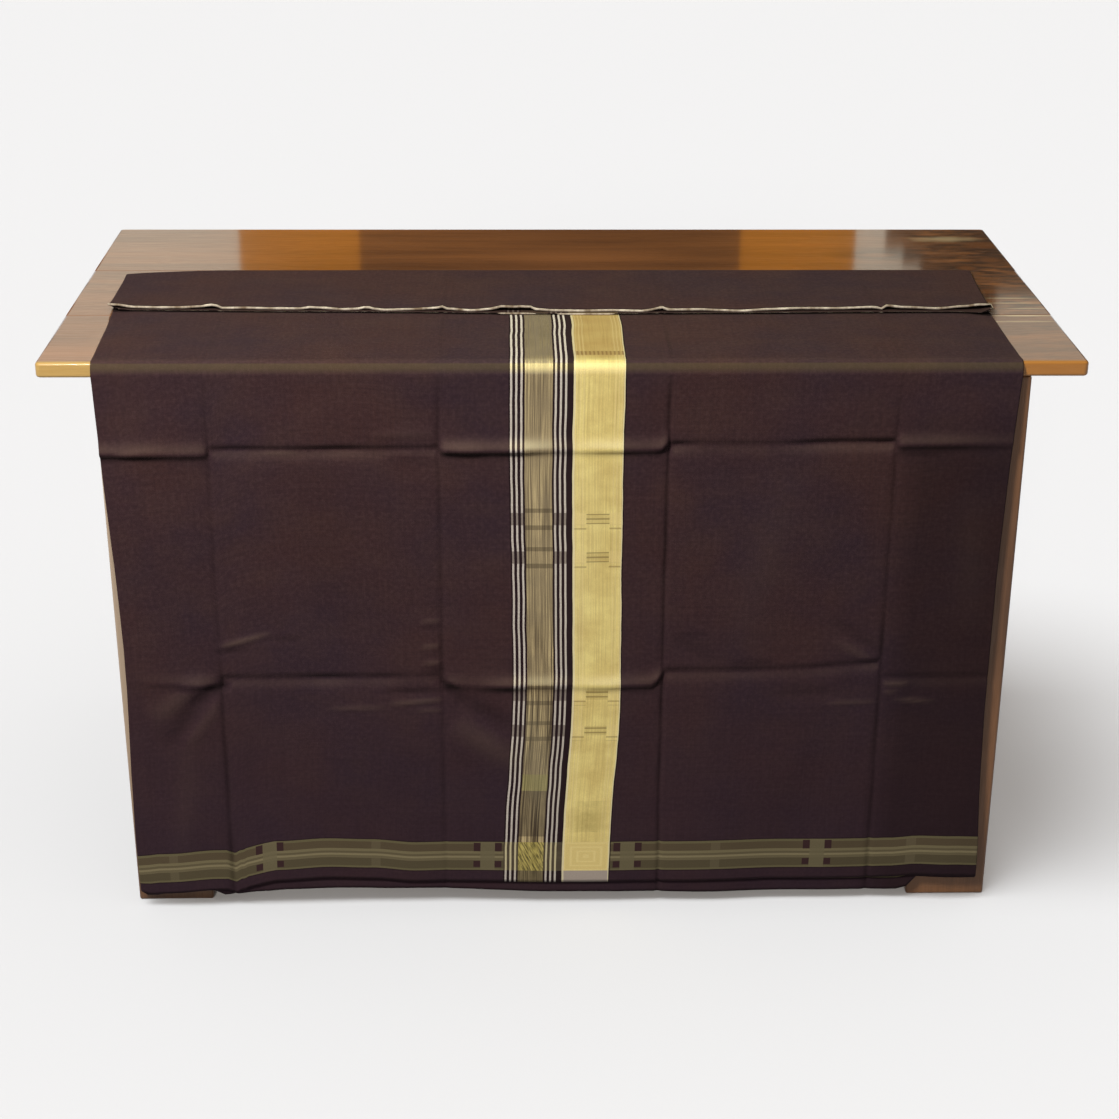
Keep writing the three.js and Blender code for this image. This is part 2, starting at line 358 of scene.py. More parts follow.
# %% Wood grain as a shader group
def group(name, inputs, outputs):
    """An empty shader group with its tree open, and its named inputs and outputs."""
    open_tree(bpy.data.node_groups.new(name, "ShaderNodeTree"))
    for label, kind in inputs:
        tree.interface.new_socket(label, in_out="INPUT", socket_type=kind)
    for label, kind in outputs:
        tree.interface.new_socket(label, in_out="OUTPUT", socket_type=kind)
    return tree, tree.nodes.new("NodeGroupInput").outputs, tree.nodes.new("NodeGroupOutput").inputs


wood_grain, given, gives = group(
    "wood_grain",
    [("Place", "NodeSocketVector"), ("Light", "NodeSocketColor"), ("Dark", "NodeSocketColor")],
    [("Color", "NodeSocketColor"), ("Height", "NodeSocketFloat"), ("Roughness", "NodeSocketFloat")],
)
wander = put("TexNoise", given["Place"], None, 2.2, 3.0, 0.5, out=1)
swing = put("VectorMath", wander, (0.5, 0.5, 0.5), operation="SUBTRACT")
swing = stretched(swing, (0.0, 0.05, 0.05))
bent = put("VectorMath", given["Place"], swing, operation="ADD")
year_lines = spread(cloud(bent, (0.9, 26.0, 26.0), 4.0, 0.55), 0.36, 0.66)
pores = spread(cloud(bent, (14.0, 620.0, 620.0), 3.0, 0.6), 0.35, 0.7)
patches = spread(cloud(given["Place"], (2.6, 7.0, 7.0), 2.0, 0.5), 0.35, 0.68)
share = calc("MULTIPLY_ADD", year_lines, 0.45, times(pores, 0.2))
share = calc("MULTIPLY_ADD", patches, 0.38, share)
feed(blend(share, given["Light"], given["Dark"]), gives["Color"])
feed(calc("MULTIPLY_ADD", year_lines, 0.5, pores), gives["Height"])
feed(spread(pores, 0, 1, 0.34, 0.5), gives["Roughness"])
print("wood_grain has", len(tree.nodes), "nodes")

# %% [markdown]
# The varnish is a clear coat on top of the grain. On the real top the right-hand end is darker and has
# knots, and the front face is paler. They and a painted joint highlight are placed on the table's own
# coordinates.

# %% Varnished wood
KNOTS = [  # x, y behind the front edge, length, width
    (0.545, 0.404, 0.016, 0.013),
    (0.585, 0.444, 0.018, 0.013),
    (0.512, 0.372, 0.020, 0.012),
    (0.435, 0.470, 0.034, 0.014),
    (0.590, 0.520, 0.030, 0.020),
    (0.560, 0.292, 0.040, 0.012),
]
PALE_STREAKS_AND_JOINT_GLINT = [  # x, y behind the front edge, half length, half width, how pale
    (0.537, 0.556, 0.052, 0.0170, 0.5),
    (0.575, 0.262, 0.036, 0.0016, 0.65),
    (0.572, 0.240, 0.040, 0.0014, 0.60),
    (0.585, 0.216, 0.030, 0.0014, 0.50),
    # the next row is no streak but a painted highlight along the eased joint of the front and middle boards
    (0.575, 0.1845, 0.060, 0.0016, 1.0),
    (0.568, 0.160, 0.044, 0.0030, 0.35),
]
DARK_END = (0.33, 0.45)  # x where the right-hand end starts to darken and where it is darkest
MOTTLED_END = (0.47, 0.52)
DARK_FROM_Y = (0.18, 0.21)  # y behind the front edge: the front board is less dark
FRONT_FACE = (0.010, 0.002)  # y behind the front edge
LEG_PALE_X, LEG_PALE_Z = (-0.520, -0.536), (0.05, 0.22)  # the left leg's pale outer edge


def spot(here, x, y, length, width, stir):
    """How far a point is from a spot on the table top: 0 in its middle and 1 at its stirred rim."""
    away = put("VectorMath", here, (x, EDGE_Y + y, TOP_Z), operation="SUBTRACT")
    away = stretched(away, (1 / length, 1 / width, 8.0))
    return plus(put("VectorMath", away, operation="LENGTH", out=1), stir)


def top_wear(here, shade, height, rough):
    """The top's dark end with its knots and streaks, a painted highlight along the front joint, and its
    paler front face.
    """
    x, y = axes(here)[:2]
    uneven = spread(put("TexNoise", here, None, 9.0, 3.0, 0.6), 0.3, 0.7, -0.07, 0.07)
    stirred_x = plus(x, uneven)
    beyond_joint = spread(y, EDGE_Y + DARK_FROM_Y[0], EDGE_Y + DARK_FROM_Y[1], 0.35, 1.0)
    mottle = spread(cloud(here, (20.0, 75.0, 1.0), 3.0, 0.65), 0.4, 0.62)
    mottled = blend(mottle, (54, 34, 23), (164, 104, 56))
    shade = layered(
        shade,
        (times(spread(stirred_x, *DARK_END), beyond_joint, 0.32), (44, 26, 16)),
        (times(spread(stirred_x, *MOTTLED_END), beyond_joint, 0.6), mottled),
    )
    for knot in KNOTS:
        away = spot(here, *knot, times(uneven, 4.0))
        shade = layered(
            shade,
            (times(spread(away, 2.4, 1.0), 0.6), (50, 28, 15)),
            (spread(away, 1.0, 0.45), (112, 66, 30)),
        )
        height = plus(height, times(spread(away, 2.4, 0.8), 1.5))
    # pale streaks, and one painted highlight along the front joint
    for *streak, pale in PALE_STREAKS_AND_JOINT_GLINT:
        away = spot(here, *streak, times(uneven, 8.0))
        shade = blend(times(spread(away, 1.05, 0.2), pale), shade, (222, 196, 152))
    face = times(spread(y, EDGE_Y + FRONT_FACE[0], EDGE_Y + FRONT_FACE[1]), 0.92)
    redder = spread(x, -0.4, 0.5)
    face_light = blend(redder, (204, 172, 100), (196, 134, 56))
    face_dark = blend(redder, (172, 128, 60), (156, 96, 32))
    return blend(face, shade, blend(rough, face_light, face_dark)), height, face


def varnished(name, light, dark, coat, top=False):
    paint, shader = surface(name)
    place = put("Attribute", attribute_name="grain_place", out=1)
    grain = use(wood_grain, Place=place, Light=colour(*light), Dark=colour(*dark))
    shade, height, rough = grain["Color"], grain["Height"], grain["Roughness"]
    here = put("TexCoord", out=3)
    if top:
        shade, height, face = top_wear(here, shade, height, rough)
        coat = times(less(1.0, times(face, 0.75)), coat)
    else:
        x, z = axes(here)[::2]
        # the left leg is paler towards its outer edge, except near the floor
        pale_edge = times(spread(x, *LEG_PALE_X, 0.0, 0.6), spread(z, *LEG_PALE_Z))
        shade = blend(pale_edge, shade, (206, 186, 160))
    feed(shade, shader["Base Color"])
    feed(rough, shader["Roughness"])
    feed(coat, shader["Coat Weight"])
    settle(shader, Specular_IOR_Level=0.35, Coat_Roughness=0.07)
    roughen(shader, height, 0.25, 0.0004)
    print(name, "has", len(tree.nodes), "nodes")
    return paint


top_wood = varnished("varnished_top_wood", (146, 92, 52), (80, 48, 29), 1.0, top=True)
leg_wood = varnished("varnished_leg_wood", (142, 98, 62), (70, 48, 33), 0.08)

# %% [markdown]
# ## Table
# Every board, leg and rail is its own plank. Each one starts as a cube that is stretched to the size of the
# real plank, and its edges are eased with a bevel, as a plane or sandpaper would do it. The outer edge of
# the top is rounder than the joints between its boards, because hands and cloth rub on it.

# %% Planks
LEG_TAPER = 0.0055  # the left front leg narrows this much towards the floor
TOP_EDGE, LEG_EDGE, CORNER, JOINT_EDGE = 0.0035, 0.0028, 0.006, 0.0007  # radii
SHARP = math.radians(60)
BEVEL = {"offset_type": "OFFSET", "profile": 0.5, "affect": "EDGES", "clamp_overlap": True, "material": -1}
NEAR = 0.01
GRAIN_STEP = Vector((1.7, 0.43, 0.29))  # from one piece's grain to the next one's
GRAIN_ALONG = {"top": 0, "leg": 2, "rail_front": 0, "rail_back": 0, "rail_left": 1, "rail_right": 1}


def grain_direction(name):
    return next(axis for start, axis in GRAIN_ALONG.items() if name.startswith(start))


def ease(shape, edges, radius, segments):
    bmesh.ops.bevel(shape, geom=edges, offset=radius, segments=segments, **BEVEL)


def plank(node_name, order, paint, soft_edge, joints=()):
    """A plank in the place of one CAD node. joints are the y values at which it meets its neighbour."""
    low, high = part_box(node_name)
    size = high - low
    shape = bmesh.new()
    bmesh.ops.create_cube(shape, size=1.0)
    bmesh.ops.scale(shape, vec=size, verts=shape.verts)
    bmesh.ops.translate(shape, vec=(low + high) / 2, verts=shape.verts)
    if node_name == "leg_front_left":
        foot = [v for v in shape.verts if v.co.x < low.x + NEAR and v.co.z < low.z + NEAR]
        bmesh.ops.translate(shape, vec=(LEG_TAPER, 0, 0), verts=foot)

    def at_joint(edge):
        return any(all(abs(v.co.y - joint) < 1e-4 for v in edge.verts) for joint in joints)

    if joints:
        free = [e for e in shape.edges if not at_joint(e)]
        ease(shape, [e for e in free if abs(e.verts[0].co.z - e.verts[1].co.z) > NEAR], CORNER, 4)
    ease(shape, [e for e in shape.edges if not at_joint(e) and e.calc_face_angle(0) > SHARP], soft_edge, 4)
    tight = [e for e in shape.edges if at_joint(e) and e.calc_face_angle(0) > SHARP]
    if tight:
        ease(shape, tight, JOINT_EDGE, 2)
    bmesh.ops.recalc_face_normals(shape, faces=shape.faces)
    mesh = add_mesh(node_name + "_plank", shape)
    along = grain_direction(node_name)
    grain_axes = [along] + [axis for axis in (0, 1, 2) if axis != along]
    grain = mesh.attributes.new("grain_place", "FLOAT_VECTOR", "POINT")
    for vertex, item in zip(mesh.vertices, grain.data):
        item.vector = Vector([vertex.co[axis] for axis in grain_axes]) + order * GRAIN_STEP
    for polygon in mesh.polygons:
        polygon.use_smooth = polygon.area < 0.4 * soft_edge * max(size)
    mesh.materials.append(paint)
    piece = add_object(node_name + "_plank", mesh)
    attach(piece, "root")
    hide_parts(node_name)
    return piece


front_joint = (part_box("top_board_front")[1].y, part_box("top_board_middle")[0].y)
back_joint = (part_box("top_board_middle")[1].y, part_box("top_board_back")[0].y)
top_boards = [
    plank("top_board_front", 1, top_wood, TOP_EDGE, [front_joint[0]]),
    plank("top_board_middle", 2, top_wood, TOP_EDGE, [front_joint[1], back_joint[0]]),
    plank("top_board_back", 3, top_wood, TOP_EDGE, [back_joint[1]]),
]
under = sorted(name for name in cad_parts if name.startswith(("leg_", "rail_")))
frame_planks = [plank(name, 4 + i, leg_wood, LEG_EDGE) for i, name in enumerate(under)]
print("planks:", len(top_boards) + len(frame_planks))

# %% [markdown]
# ## How the sarong lies
# Both layers follow one path: up the drop from the hem, round the table edge, back along the top, round a
# fold and forward again. All lengths in these cells are in millimetres, with the table's front edge at 0.
# "Share" runs across the cloth from its left fold (0) to its right fold (1).

# %% The path of the cloth
MM = 0.001
CLOTH_WIDTH, CLOTH_HEIGHT = 1085.0, 1240.0
HALF_GAP = 0.75  # from the path to the middle of a layer
SURFACE = TOP_Z / MM
BEND_RADIUS, BEND_MIDDLE_Y, BEND_MIDDLE_Z = 5.65, 4.0, SURFACE - 4.0
LIE_Z = BEND_MIDDLE_Z + BEND_RADIUS
PLY_RISE = 3.0  # from the path up to the turned-back plies
FOLD_RADIUS, FOLD_Y = 2.5, 367.15
FOLD_LENGTH = FOLD_RADIUS * math.pi
TOP_RUN = FOLD_Y - BEND_MIDDLE_Y
SNUG_TURN, SNUG_STEPS = math.radians(48), 3
LOOSE_LENGTH, LOOSE_STEPS = 15.0, 5


def bend_path():
    """The cloth turns snugly over the edge at first, then leaves it in a looser curve."""
    path, y, z = [(0.0, BEND_MIDDLE_Y, LIE_Z)], BEND_MIDDLE_Y, LIE_Z
    turns = [(SNUG_TURN / SNUG_STEPS, BEND_RADIUS * SNUG_TURN / SNUG_STEPS)] * SNUG_STEPS
    turns += [((math.pi / 2 - SNUG_TURN) / LOOSE_STEPS, LOOSE_LENGTH / LOOSE_STEPS)] * LOOSE_STEPS
    turn = 0.0
    for more, length in turns:
        turn += more / 2
        y, z = y - length * math.cos(turn), z - length * math.sin(turn)
        turn += more / 2
        path.append((turn, y, z))
    return path[::-1]  # from the drop up to the table


BEND_PATH = bend_path()
BEND_LENGTH = BEND_RADIUS * SNUG_TURN + LOOSE_LENGTH
DROP_Y, DROP_TOP = BEND_PATH[0][1], BEND_PATH[0][2]
HEM_HEIGHT = 30.0  # about how high the hem hangs above the floor
DROP = DROP_TOP - HEM_HEIGHT

LEFT_SIDE = [  # how far along (0 hem, 1 table edge, 2 back fold, 3 waist edge), x
    (0, -534), (0.12, -535.5), (0.25, -535), (0.42, -532), (0.5, -532), (0.65, -535), (0.8, -540),
    (1, -545), (1.35, -549), (1.5, -552), (2, -559), (3, -559),
]
RIGHT_SIDE = [
    (0, 530), (0.06, 529.5), (0.17, 525.5), (0.35, 522.5), (0.62, 522), (0.8, 525), (0.9, 527.5),
    (1, 531.6), (1.6, 531.6), (2, 541.5), (2.42, 537.5), (2.85, 534), (3, 533.5),
]
HEM_FRONT = [  # x, height of the front layer's hem
    (-533, 15), (-505, 18.5), (-440, 23), (-424, 22.5), (-414, 17.5), (-404, 22.5), (-391, 28.5),
    (-361, 35), (-298, 38.5), (-240, 36), (-182, 31), (-115, 31.5), (63, 31.4),
    (121, 31.0), (210, 32.0), (390, 32.0), (417, 33.0), (453, 37), (502, 36), (530, 34),
]
HEM_BACK = [
    (-533, 13.4), (-512, 15), (-488, 21), (-442, 21.5), (-434, 14), (-418, 14.5), (-384, 18.5), (-346, 21),
    (-295, 22), (-206, 20), (0, 15.7), (204, 13.4), (425, 12.8), (440, 16), (452, 33), (530, 31),
]
WAIST_EDGE = [(-559, 203.5), (-317, 198), (0, 188.5), (539, 193.5)]  # x, how far behind the front edge
print("drop", round(DROP, 1), "bend", round(BEND_LENGTH, 1), "top run", round(TOP_RUN, 1))


# %% [markdown]
# ## Creases
# The cloth was stored folded in four each way, so it has four pressed creases up it and two across it. A
# crease across turns from ridge to furrow at each crease up. Each is a soft trough or ridge with its own
# depth, and the depth wanders along it. Smaller wrinkles are put between them.

# %% Charts of the creases
CREASES_UP = [  # x, depth, half width, and its strength by height on the flat cloth
    (-416.0, 3.0, 3.0, [(0, 1.0), (290, 1.0), (330, 0.35), (600, 0.4), (680, 0.25), (900, 0.4)]),
    (-146.5, 3.0, 3.0, [(0, 0.35), (270, 0.4), (300, 0.9), (320, 0.9), (350, 0.45), (560, 0.4), (600, 0.7),
                        (630, 0.6), (670, 0.35), (900, 0.4)]),
    (122.5, 2.9, 2.4, [(0, 1.0), (560, 0.9), (640, 1.2), (700, 0.9), (900, 0.5)]),
    (391.0, 3.0, 3.0, [(0, 0.6), (280, 0.9), (330, 0.9), (400, 0.5), (590, 0.5), (650, 0.3), (900, 0.4)]),
]
CREASES_ACROSS = [  # heights at the left end, at each crease up, and at the right end
    [(-533, 611), (-418, 611), (-416, 617), (-149, 617), (-147, 614), (112, 616), (121, 623), (122.5, 621),
     (388, 625), (390, 621), (530, 621)],
    [(-533, 316), (-440, 310), (-417, 308), (-415, 320), (-149, 322), (-146, 308), (110, 308), (121, 322),
     (126, 326), (300, 330), (388, 338), (392, 318), (530, 318)],
]
ACROSS_DEPTH = [  # by column, for each crease across: above 0 is a ridge, below is a furrow
    [4.4, -3.2, 5.2, -3.8, 3.6],
    [3.0, -2.8, 4.4, -3.4, -1.4],
]
ACROSS_STRENGTH = [  # by x, for each crease across
    [(-540, 1.0), (124, 1.0), (150, 0.5), (230, 0.5), (280, 1.0), (540, 1.0)],
    [(-540, 0.15), (-485, 0.3), (-440, 1.0), (112, 0.9), (140, 0.5), (310, 0.6), (385, 0.9), (540, 0.6)],
]
WRINKLES = [  # x and height of one end and of the other, half width, height out
    # beside the first crease up, at the lower crease across
    (-408, 320, -455, 280, 8, -3.2), (-438, 298, -488, 220, 10, -2.8), (-430, 326, -505, 262, 12, 2.2),
    (-418, 292, -464, 228, 9, 1.6), (-440, 307, -404, 309, 3, -2.4), (-420, 361, -356, 381, 3.2, 1.9),
    (-424, 354, -382, 358, 3.4, -1.4), (-352, 372, -315, 372, 3, -1.1),
    # left of the second crease
    (-174, 395, -146, 396, 2.8, 1.1), (-172, 386, -148, 385, 2.8, -0.9), (-174, 361, -147, 363, 3, 1.3),
    (-170, 339, -144, 341, 3, 1.3), (-165, 331, -142, 329, 3, -1.2), (-220, 301, -143, 302, 3.4, -1.7),
    (-214, 285, -143, 290, 3.2, 1.6), (-288, 279, -216, 280, 3, 1.0), (-182, 276, -145, 275, 3, 0.9),
    # right of the second crease
    (-154, 320, -118, 282, 7, -3.4), (-130, 292, -54, 244, 10, -3.0), (-150, 313, -128, 305, 3, -2.2),
    (-134, 260, -50, 198, 15, 2.6), (-142, 218, -98, 188, 8, -1.2),
    # between the third and fourth creases
    (136, 374, 192, 334, 7, -2.0), (148, 377, 173, 375, 3, -1.0), (328, 396, 394, 342, 8, -2.2),
    (333, 368, 394, 333, 7, 2.0), (266, 294, 340, 295, 9, -1.4), (323, 283, 390, 284, 3, 1.0),
    (203, 336, 262, 338, 4, -1.2),
    # right of the fourth crease
    (390, 308, 426, 309, 3, 1.3), (413, 287, 454, 285, 3, 1.3), (393, 297, 412, 297, 2.8, 0.9),
    # along the upper crease across
    (-524, 611, -498, 612, 3, 1.1), (-230, 635, -150, 636, 6, 1.2), (-358, 613, -309, 614, 3, 1.1),
    (-215, 604, -146, 602, 3.6, -0.9), (388, 607, 450, 607, 4, -1.0),
    # wide, slow waves
    (-481, 46, -459, 254, 14, 0.8), (213, 343, 267, 597, 26, 0.9), (-267, 381, -293, 619, 30, -0.9),
    (15, 320, 25, 620, 24, 0.7), (-13, 107, -47, 303, 20, 0.9), (262, 67, 338, 273, 26, -0.8),
    (497, 370, 483, 570, 22, 0.8),
]
print("creases:", len(CREASES_UP), "up,", len(CREASES_ACROSS), "across and", len(WRINKLES), "wrinkles")

# %% Relief of the hanging cloth
CREASE_REACH = 40.0
# painted highlight and painted shade of the creases across
RIDGE_LIGHT, RIDGE_DARK = 0.085, 0.21  # tones for each millimetre of a crease's height
FURROW_LIGHT, FURROW_DARK = 0.07, 0.22
# painted shade in the creases up the cloth, for each millimetre of their depth
UP_CREASE_SHADE = 0.17
SIDES = (-540.0, 535.0)


def bell(away, reach):
    return math.exp(-((away / reach) ** 2))


def hump(away, upper, lower):
    """A rounded profile that may be steeper on one side than on the other."""
    return bell(away, upper if away > 0 else lower)


def uneven(a, b, seed):
    return noise.noise(Vector((a, b, seed)))


def furrow(x, v):
    """How deep the creases up the cloth are here."""
    deepest = 0.0
    for i, (place, depth, half, strength) in enumerate(CREASES_UP):
        away = x - place - 1.2 * uneven(v / 90, i, 3.1)
        if abs(away) < 5 * half:
            here = depth * chart(strength, v) * (0.85 + 0.6 * uneven(v / 60, i, 7.7))
            deepest = max(deepest, here * math.exp(-abs(away / half) ** 1.4))
    return deepest


def across(x, z, seed):
    """The creases across: how far they stand out, and the painted highlight and shade that go with them."""
    out = tone = 0.0
    near = min(abs(x - crease[0]) for crease in CREASES_UP)
    column = sum(1 for crease in CREASES_UP if x > crease[0])
    for line, depths, strength in zip(CREASES_ACROSS, ACROSS_DEPTH, ACROSS_STRENGTH):
        away = z - chart(line, x, soft=False) - 1.2 * uneven(x / 60, line[0][1], 1.3)
        if abs(away) > CREASE_REACH:
            continue
        height = depths[column] * chart(strength, x) * (0.45 + 0.55 * smooth(near / 8))
        height *= 0.8 + 0.7 * uneven(x / 45, line[0][1], seed)
        if height > 0:  # a ridge has a long upper slope and a short, steep one under the crest
            out += height * hump(away, 12, 3.0)
            # painted highlight on the ridge's long upper slope, painted shade just under its crest
            tone += height * (RIDGE_LIGHT * hump(away - 6, 8, 5) - RIDGE_DARK * hump(away + 3.6, 4.0, 5.0))
        else:
            out += height * hump(away, 3.0, 10)
            # painted shade just above the furrow, painted highlight below it
            tone -= height * (FURROW_LIGHT * hump(away + 6, 5, 7) - FURROW_DARK * hump(away - 2.6, 3.4, 2.6))
    return out, tone


def small_wrinkles(x, z):
    out = tone = 0.0
    for x0, z0, x1, z1, half, height in WRINKLES:
        length = math.hypot(x1 - x0, z1 - z0)
        along = ((x - x0) * (x1 - x0) + (z - z0) * (z1 - z0)) / length**2
        if 0 < along < 1:
            aside = ((x - x0) * (z1 - z0) - (z - z0) * (x1 - x0)) / length
            here = height * math.sin(math.pi * along) ** 0.6 * bell(aside, half)
            out += here
            # painted highlight on raised wrinkles, painted shade in sunk ones
            tone += here * (0.3 if half < 5 else 0.1)
    return out, tone


def pillow(x):
    """Each panel between two creases bows out a little."""
    places = [SIDES[0]] + [crease[0] for crease in CREASES_UP] + [SIDES[1]]
    for a, b in zip(places, places[1:]):
        if a <= x <= b:
            return math.sin(math.pi * (x - a) / (b - a)) ** 0.8
    return 0.0


def relief(x, z, v, back):
    """How far the hanging cloth stands out from its plane, and its painted shade or highlight (below 0 is
    shade).
    """
    hang = 1 - smooth((z - 640) / 70)
    low = 1 - smooth((z - HEM_HEIGHT) / 200)
    out = 1.0 + 2.2 * hang * pillow(x) * (0.75 + 0.5 * uneven(x / 260, z / 210, 0.4))
    ridge, ridge_tone = across(x, z, 5.5)
    wrinkles, wrinkle_tone = small_wrinkles(x, z)
    crease = furrow(x, v)
    out += ridge + wrinkles - crease
    out += 0.9 * uneven(x / 120, z / 90, 9.2) * hang + 0.3 * uneven(x / 26, z / 20, 4.4)
    out += low * (2.5 + 2.2 * math.sin(x / 88.0 + 0.7) + 1.6 * uneven(x / 75, 0, 6.1))
    if back:
        out -= low * 1.5
    # painted shade and highlight of creases and wrinkles, and a little painted shade near the top of the
    # drop
    return out, ridge_tone + wrinkle_tone - UP_CREASE_SHADE * crease - 0.06 * smooth((z - 630) / 50)


# %% [markdown]
# On the table the cloth lies nearly flat. The turned-back stretch is two loose plies, so its front edge
# stands up a few millimetres in a row of small waves, with a kink at each pressed crease.

# %% Waves of the waist edge
EDGE_LIFT = [  # x, how far the top ply's front edge stands above where it would lie flat
    (-559, 4.4), (-549, 3.8), (-527, 0.6), (-498, 0.2), (-468, 0.5), (-446, 1.8), (-431, 4.0),
    (-426, 3.6), (-419, 0.0), (-393, 0.6), (-356, 0.1), (-321, 0.0), (-310, 1.7), (-298, 1.0),
    (-268, -0.9), (-252, -0.2), (-240, 2.2), (-231, 0.2), (-219, -1.2), (-185, 0.0), (-156, 1.8),
    (-147, 3.5), (-141, 1.2), (-110, -0.6), (-86, 1.5), (-74, 4.8), (-55, 4.4), (-38, 4.6), (-31, 1.4),
    (-8, 0.0), (26, -0.4), (62, 0.2), (101, -0.8), (116, 1.4), (123, 4.2), (126, 3.4), (132, 0.8),
    (172, 1.0), (198, -0.2), (221, -1.2), (258, 0.8), (295, 1.8), (344, 1.4), (388, 2.8), (396, 0.2),
    (403, 4.6), (424, 2.6), (467, 0.8), (500, 3.4), (520, 5.6), (541, 6.4),
]
EDGE_LIFT_REACH = 15
LOWER_PLY_OUT = [  # x, how far the lower ply's edge lies in front of the upper one's
    (-559, 2), (-530, 7), (-300, 8.5), (-90, 8), (-72, 9.5), (60, 9.5), (120, 8), (480, 8.5), (541, 17),
]
LOWER_BEAD_SHOWS = [(-78, 0), (-73, 1), (-39, 1), (-34, 0), (-3, 0), (2, 1), (60, 1), (66, 0)]


def top_puff(x, y):
    """Gentle rises of the cloth on the table, never below it."""
    wide = 0.9 * (0.5 + uneven(x / 160, y / 60, 2.2)) + 0.35 * (0.5 + uneven(x / 40, y / 30, 8.8))
    return max(0.0, wide) * smooth((y - 14) / 40)


def flap_lift(x, forward, reach, top_ply):
    """forward is how far in front of the fold a point lies, and reach is where the edge is."""
    from_edge = reach - forward
    edge = max(chart(EDGE_LIFT, x), -1.4 if top_ply else 0.0)
    if not top_ply:
        edge = 0.12 * max(0.0, edge)
    lift = edge * bell(from_edge, EDGE_LIFT_REACH) + (0.7 if top_ply else 0.3) * bell(from_edge, 34)
    return lift + 2.0 * bell(forward, 18)


# %% [markdown]
# ## The sarong as one tube
# A grid is bent onto the path. Its first half of columns is the front layer and its second half the back
# layer, and where they meet at the sides the columns go round the folded edge. The seam of the tube is then
# welded and the cloth gets its thickness. Rows and columns are closer together at folds and creases.

# %% Rows and columns
def rings(total, coarse, fine_spots):
    """Places from 0 to total with a coarse step, and a finer one round each (place, reach, step)."""
    places, at = [], 0.0
    while at < total - 0.3:
        places.append(at)
        step = coarse
        for place, reach, fine in fine_spots:
            if abs(at - place) <= reach:
                step = min(step, fine)
            elif at < place - reach:
                step = min(step, max(fine, place - reach - at + 0.001))
        at += step
    return places + [total]


ENDS = [(0, 1.6, 0.5), (CLOTH_WIDTH, 1.6, 0.5)]
CREASE_SPOTS = [(125, 15, 2.0), (401, 11, 2.0), (673, 8, 1.7), (943, 13, 2.0)]  # place, reach, step
WRINKLED = [(95, 45, 6.4), (380, 110, 7.0), (925, 35, 7.0)]
front_columns = rings(CLOTH_WIDTH, 12.0, ENDS + CREASE_SPOTS + WRINKLED)
BACK_SPOTS = [(CLOTH_WIDTH - place, reach, 3.2) for place, reach, step in CREASE_SPOTS]
SEAM_SPOT = (CLOTH_WIDTH / 2 + 46, 6, 2.0)
back_columns = rings(CLOTH_WIDTH, 12.5, ENDS + BACK_SPOTS + [SEAM_SPOT])
columns = front_columns + [CLOTH_WIDTH + place for place in back_columns[1:]]

rows = [("drop", z / DROP) for z in rings(DROP, 10.8, [(8, 8, 4.0), (290, 85, 3.7), (590, 19, 2.7)])]
rows += [("bend", turn / (len(BEND_PATH) - 1)) for turn in range(1, len(BEND_PATH))]
rows += [("top", back / TOP_RUN) for back in rings(TOP_RUN, 18.0, [(0, 12, 6.0), (184, 14, 2.8)])[1:]]
FOLD_STEPS = 6
rows += [("fold", (turn + 1) / FOLD_STEPS) for turn in range(FOLD_STEPS)]
FLAP = 170.0
rows += [("flap", 1 - forward / FLAP) for forward in reversed(rings(FLAP, 13.0, [(8, 14, 2.8)])[:-1])]
print("sarong grid:", len(columns), "columns and", len(rows), "rows")


# %% Columns of the cloth
ROUNDING = 1.5  # how far from a side fold the cloth is round
SUNK = 0.93  # the side folds lie on the wood
LOW_SLIP, TABLE_SLIP = 15.5, -3.8
Column = namedtuple("Column", "back share from_fold sharp offset bulge start")


def side_x(along, share):
    left, right = chart(LEFT_SIDE, along, soft=False), chart(RIGHT_SIDE, along, soft=False)
    return left + (right - left) * share


def column_at(u):
    """A column's layer, how the side folds pull it together, and its height v at the table edge."""
    back = u > CLOTH_WIDTH
    share = (2 * CLOTH_WIDTH - u if back else u) / CLOTH_WIDTH
    from_fold = min(share, 1 - share) * CLOTH_WIDTH
    sharp = max(0.0, 1 - from_fold / ROUNDING)
    half_gap = HALF_GAP * (0.4 + 0.6 * smooth(from_fold / 24))
    offset = half_gap * math.sqrt(1 - sharp**2) * (-1 if back else 1)
    bulge = half_gap * sharp * (-1 if share < 0.5 else 1)
    start = DROP_TOP - chart(HEM_FRONT, side_x(0, share))
    return Column(back, share, from_fold, sharp, offset, bulge, start)


def mid_cloth(share):
    return (4 * share * (1 - share)) ** 0.6


def slip(c, z):
    """Low down, the weave in the middle of the cloth has slipped a little to the left of its creases."""
    return (-LOW_SLIP if c.back else LOW_SLIP) * (1 - smooth((z - 10) / 290)) * mid_cloth(c.share)


def slip_on_table(c, y):
    """On the table the front layer's weave has slipped a little to the right."""
    return 0.0 if c.back else TABLE_SLIP * smooth(y / 190) * mid_cloth(c.share)


# %% [markdown]
# Each run of the path has a function of its own. It takes how far along its run a point is (0 to 1) and the
# point's column. It gives x, y and z, how far the weave has slipped, the height v on the flat cloth, and a
# tone of painted light for the dye: painted shade in creases, on the hidden ply and under the flap, and
# painted highlights on ridges, side folds and the bend.


